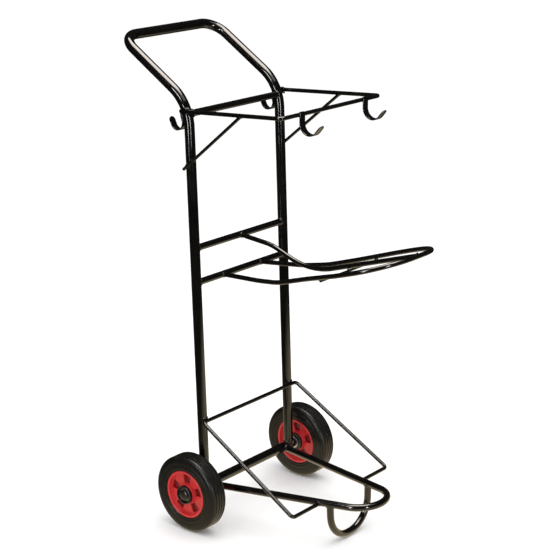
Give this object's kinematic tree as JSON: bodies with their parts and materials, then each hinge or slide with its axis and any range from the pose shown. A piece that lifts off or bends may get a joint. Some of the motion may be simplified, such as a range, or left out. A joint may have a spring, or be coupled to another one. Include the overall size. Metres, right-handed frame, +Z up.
{
  "type": "wheeled saddle rack",
  "caption": "Welded-tube saddle trolley: looped cradle rod, square rod rack with strip hooks, bent-back push handle, U-shaped front foot and red-centred wheels.",
  "frame": {"origin": "on the ground, under the middle of the rack's bounding box", "axes": "+Z up; -Y to the front, where the cradle's nose points; +Y to the back, over which the push handle leans; +X to the left, along the wheels' axle"},
  "size_m": [0.5026, 0.788, 1.2387],
  "materials": {
    "frame_paint": "gloss black powder coat",
    "tyre_rubber": "solid black rubber with grooved tread",
    "rim_plastic": "moulded red plastic, satin gloss",
    "hub_plastic": "moulded black plastic",
    "axle_steel": "turned bright steel"
  },
  "bodies": {
    "frame": {"main_frame_tube": "frame_paint", "axle_tube": "frame_paint", "top_crossbar": "frame_paint", "upper_crossbar": "frame_paint", "lower_crossbar": "frame_paint", "top_rack_rod": "frame_paint", "left_rack_brace": "frame_paint", "right_rack_brace": "frame_paint", "left_front_hook": "frame_paint", "right_front_hook": "frame_paint", "left_rear_hook": "frame_paint", "right_rear_hook": "frame_paint", "saddle_loop_rod": "frame_paint", "saddle_centre_rod": "frame_paint", "saddle_cross_rod": "frame_paint", "base_loop_tube": "frame_paint", "front_leg_tube": "frame_paint", "lower_frame_rod": "frame_paint", "axle_rod": "axle_steel", "left_inner_washer": "axle_steel", "right_inner_washer": "axle_steel", "left_outer_washer": "axle_steel", "right_outer_washer": "axle_steel", "left_axle_cap": "hub_plastic", "right_axle_cap": "hub_plastic"},
    "left_wheel": {"left_tyre": "tyre_rubber", "left_rim": "rim_plastic", "left_hub": "hub_plastic", "left_bearing_bush": "axle_steel"},
    "right_wheel": {"right_tyre": "tyre_rubber", "right_rim": "rim_plastic", "right_hub": "hub_plastic", "right_bearing_bush": "axle_steel"}
  },
  "joints": [
    {"name": "left_wheel_spin", "type": "hinge", "parent": "frame", "child": "left_wheel", "pos_m": [0.2175, 0.1487, 0.1], "axis": [1, 0, 0], "continuous": true},
    {"name": "right_wheel_spin", "type": "hinge", "parent": "frame", "child": "right_wheel", "pos_m": [-0.2175, 0.1487, 0.1], "axis": [1, 0, 0], "continuous": true}
  ]
}
